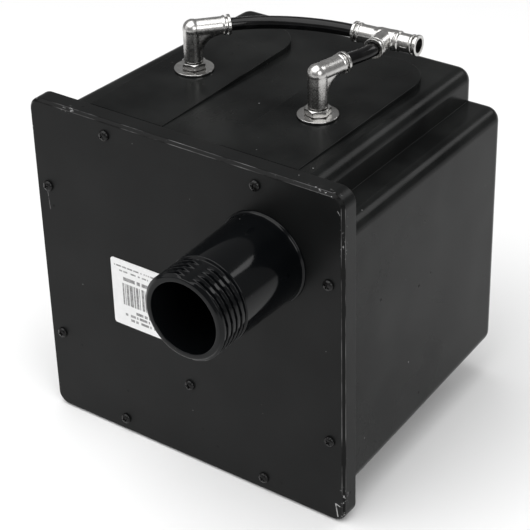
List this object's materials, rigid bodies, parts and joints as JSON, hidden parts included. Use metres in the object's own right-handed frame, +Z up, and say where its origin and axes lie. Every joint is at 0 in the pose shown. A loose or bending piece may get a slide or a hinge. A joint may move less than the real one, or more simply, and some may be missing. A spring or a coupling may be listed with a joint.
{
  "type": "sealed feed tank with outlet spout and air inlets",
  "caption": "Square black plastic tank with a screwed front cover, a threaded outlet spout, and elbow air inlets on top joined by hoses through a tee.",
  "frame": {"origin": "centre of the bounding box at its base, on the surface that the lower pads and the cover's lower edge stand on", "axes": "+Z up, -Y the way the outlet spout points, +X to the right seen from the spout's side"},
  "size_m": [0.225, 0.2608, 0.2585],
  "materials": {
    "tank_plastic": "black moulded plastic, semi-gloss, lightly scuffed",
    "cover_plastic": "black moulded plastic, satin, with pale scratches at its corners",
    "spout_plastic": "glossy black plastic",
    "seal_rubber": "black rubber",
    "black_screw_steel": "blackened steel",
    "nickel_plate": "nickel plate over a slightly rough casting",
    "hose_plastic": "glossy black tube",
    "label_paper": "white printed label with plain bars and blocks"
  },
  "bodies": {
    "tank": {"tank_body": "tank_plastic", "front_cover": "cover_plastic", "cover_gasket": "seal_rubber", "baffle_plate": "tank_plastic", "baffle_screw": "black_screw_steel", "label": "label_paper", "outlet_spout": "spout_plastic", "spout_seal": "seal_rubber", "spout_lock_ring": "spout_plastic", "cover_screw_1": "black_screw_steel", "cover_screw_2": "black_screw_steel", "cover_screw_3": "black_screw_steel", "cover_screw_4": "black_screw_steel", "cover_screw_5": "black_screw_steel", "cover_screw_6": "black_screw_steel", "cover_screw_7": "black_screw_steel", "cover_screw_8": "black_screw_steel", "left_flange_washer": "nickel_plate", "left_seal_washer": "seal_rubber", "left_inlet_stem": "nickel_plate", "left_lock_nut": "nickel_plate", "right_flange_washer": "nickel_plate", "right_seal_washer": "seal_rubber", "right_inlet_stem": "nickel_plate", "right_lock_nut": "nickel_plate", "left_elbow": "nickel_plate", "left_socket_seal": "seal_rubber", "long_hose": "hose_plastic"},
    "feed_swivel": {"right_elbow": "nickel_plate", "right_socket_seal": "seal_rubber", "short_hose": "hose_plastic", "tee_fitting": "nickel_plate", "tee_left_socket_seal": "seal_rubber", "tee_branch_socket_seal": "seal_rubber", "tee_port_socket_seal": "seal_rubber"},
    "left_release": {"left_collet": "nickel_plate"},
    "right_release": {"right_collet": "nickel_plate"},
    "tee_left_release": {"tee_left_collet": "nickel_plate"},
    "tee_branch_release": {"tee_branch_collet": "nickel_plate"},
    "tee_port_release": {"tee_port_collet": "nickel_plate"}
  },
  "joints": [
    {"name": "feed_swivel_turn", "type": "hinge", "parent": "tank", "child": "feed_swivel", "pos_m": [0.0477, 0.0152, 0.252], "axis": [0, 0, 1], "range_deg": [-2, 8], "deforming": ["long_hose"]},
    {"name": "left_release_push", "type": "slide", "parent": "tank", "child": "left_release", "axis": [-0.6756, -0.7373, 0], "range_m": [0, 0.001], "stiffness_N_per_m": 300},
    {"name": "right_release_push", "type": "slide", "parent": "feed_swivel", "child": "right_release", "axis": [-0.2079, -0.9781, 0], "range_m": [0, 0.001], "stiffness_N_per_m": 300},
    {"name": "tee_left_release_push", "type": "slide", "parent": "feed_swivel", "child": "tee_left_release", "axis": [0.9976, 0.0698, 0], "range_m": [0, 0.001], "stiffness_N_per_m": 300},
    {"name": "tee_branch_release_push", "type": "slide", "parent": "feed_swivel", "child": "tee_branch_release", "axis": [-0.0698, 0.9976, 0], "range_m": [0, 0.001], "stiffness_N_per_m": 300},
    {"name": "tee_port_release_push", "type": "slide", "parent": "feed_swivel", "child": "tee_port_release", "axis": [-0.9976, -0.0698, 0], "range_m": [0, 0.001], "stiffness_N_per_m": 300}
  ]
}
